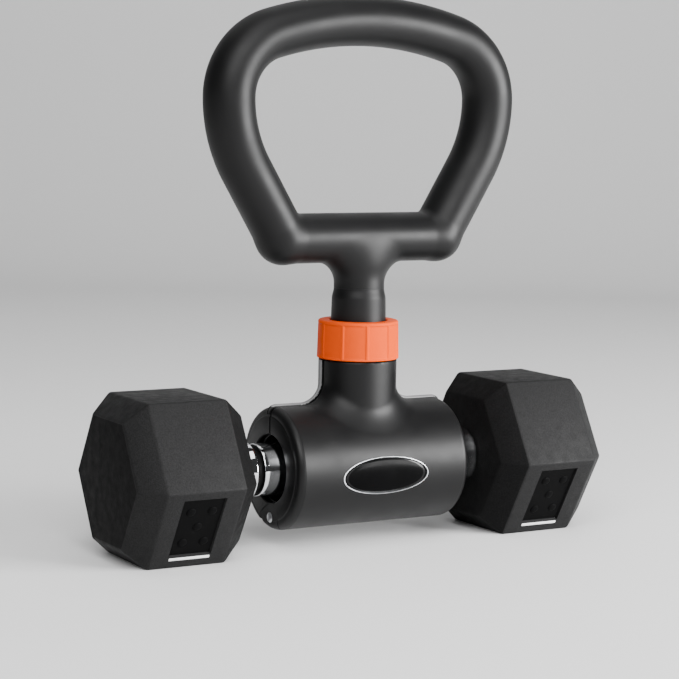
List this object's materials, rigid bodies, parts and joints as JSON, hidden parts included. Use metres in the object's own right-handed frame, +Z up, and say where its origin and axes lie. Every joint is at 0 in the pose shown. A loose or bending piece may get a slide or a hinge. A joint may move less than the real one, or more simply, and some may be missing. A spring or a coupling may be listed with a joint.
{
  "type": "kettlebell",
  "caption": "Kettlebell made of a rubber hex dumbbell held by its bar in a black clamp with a loop handle and an orange lock collar.",
  "frame": {"origin": "under the middle of the dumbbell, on the surface that its heads rest on", "axes": "+X along the dumbbell's bar, -Y towards the front with the oval badge, +Z up through the handle"},
  "size_m": [0.2664, 0.0924, 0.2757],
  "materials": {
    "shell": "satin black moulding",
    "grip": "satin black moulding",
    "liner": "smooth black",
    "collar": "semi-gloss orange",
    "badge": "gloss black",
    "chrome": "polished",
    "steel": "zinc plated",
    "spring": "black oxide",
    "rubber": "fine pebble",
    "iron": "as cast"
  },
  "bodies": {
    "handle_and_dumbbell": {"handle_grip": "grip", "stem_sleeve": "grip", "stem_core": "steel", "upper_anchor_screw": "steel", "lower_anchor_screw": "steel", "front_shell": "shell", "front_liner": "liner", "badge_plate": "badge", "badge_bezel": "chrome", "hinge_pin": "chrome", "left_pin_screw": "chrome", "right_pin_screw": "chrome", "torsion_spring": "spring", "dumbbell_bar": "chrome", "left_bar_collar": "chrome", "right_bar_collar": "chrome", "left_rubber_head": "rubber", "right_rubber_head": "rubber", "left_iron_core": "iron", "right_iron_core": "iron", "left_drive_pin": "steel", "right_drive_pin": "steel"},
    "rear_half": {"rear_shell": "shell", "rear_liner": "liner"},
    "collar_carriage": {"collar_washer": "liner"},
    "collar": {"lock_collar": "collar"}
  },
  "joints": [
    {"name": "clamp_hinge", "type": "hinge", "parent": "handle_and_dumbbell", "child": "rear_half", "pos_m": [0.005, 0, 0.0152], "axis": [-1, 0, 0], "range_deg": [0, 145]},
    {"name": "collar_lift", "type": "slide", "parent": "handle_and_dumbbell", "child": "collar_carriage", "axis": [0, 0, 1], "range_m": [0, 0.006]},
    {"name": "collar_turn", "type": "hinge", "parent": "collar_carriage", "child": "collar", "pos_m": [0.005, 0, 0.1036], "axis": [0, 0, 1], "range_deg": [0, 360]}
  ],
  "couplings": [
    {"joint": "collar_turn", "follows": "collar_lift", "rad_per_m": 1047}
  ]
}
